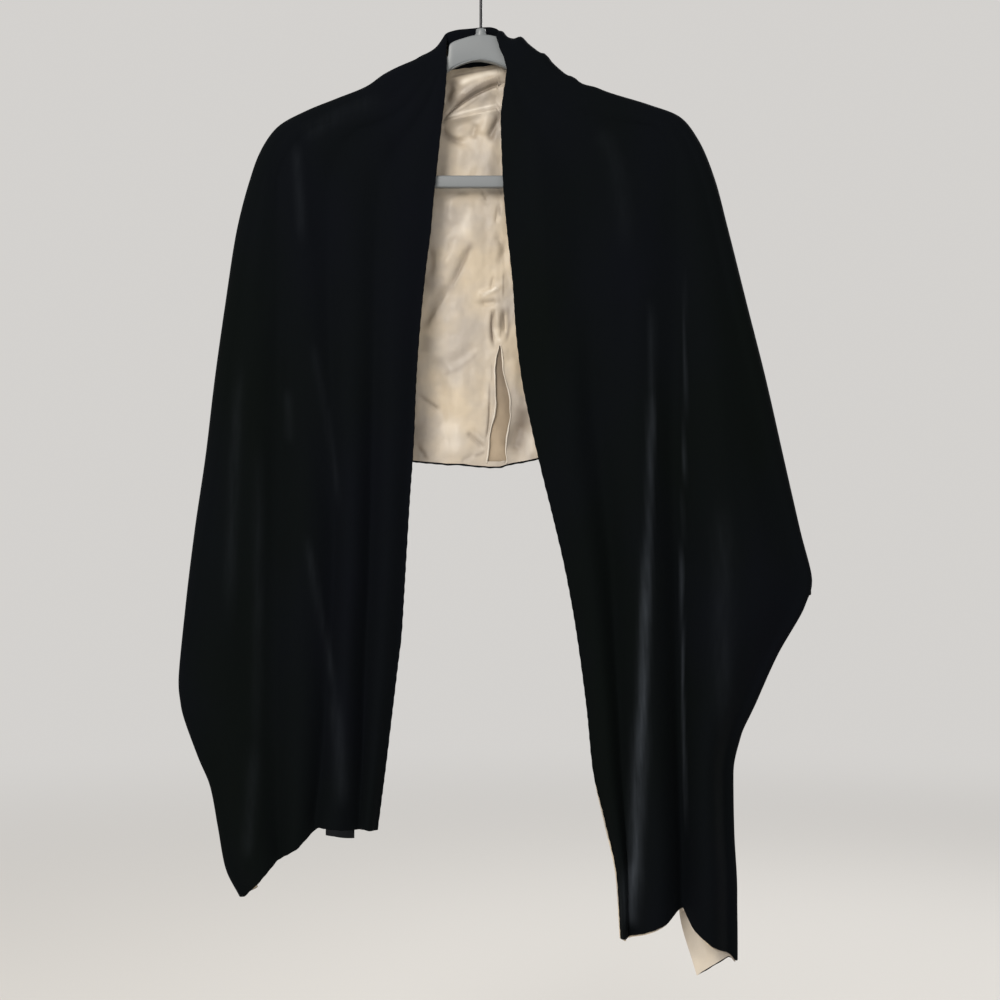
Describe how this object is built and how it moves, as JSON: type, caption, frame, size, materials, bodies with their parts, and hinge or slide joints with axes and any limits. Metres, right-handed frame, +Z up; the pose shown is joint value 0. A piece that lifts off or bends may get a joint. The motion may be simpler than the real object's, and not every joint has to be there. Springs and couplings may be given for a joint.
{
  "type": "velvet stole on a hanger",
  "caption": "Long satin-lined velvet stole draped over a moulded plastic clothes hanger, its two ends falling in front in deep soft folds and its satin side showing at the back of the neck.",
  "frame": {"origin": "inside top of the hook's crook, where a rail or peg carries the hanger", "axes": "+Z up, X along the hanger with the picture's right as +X, the front with the two falls faces -Y"},
  "size_m": [0.6709, 0.0742, 1.0807],
  "materials": {
    "velvet": "black pile velvet",
    "satin": "champagne satin lining",
    "tape": "plain black woven tape",
    "plastic": "grey moulded plastic",
    "wire": "black coated steel wire"
  },
  "bodies": {
    "root": {"velvet_back": "velvet", "velvet_left": "velvet", "velvet_right": "velvet", "velvet_collar": "velvet", "lining_back": "satin", "lining_left": "satin", "lining_right": "satin", "lining_collar": "satin", "label": "tape", "hanger_body": "plastic", "hanger_hook": "wire"}
  },
  "joints": []
}
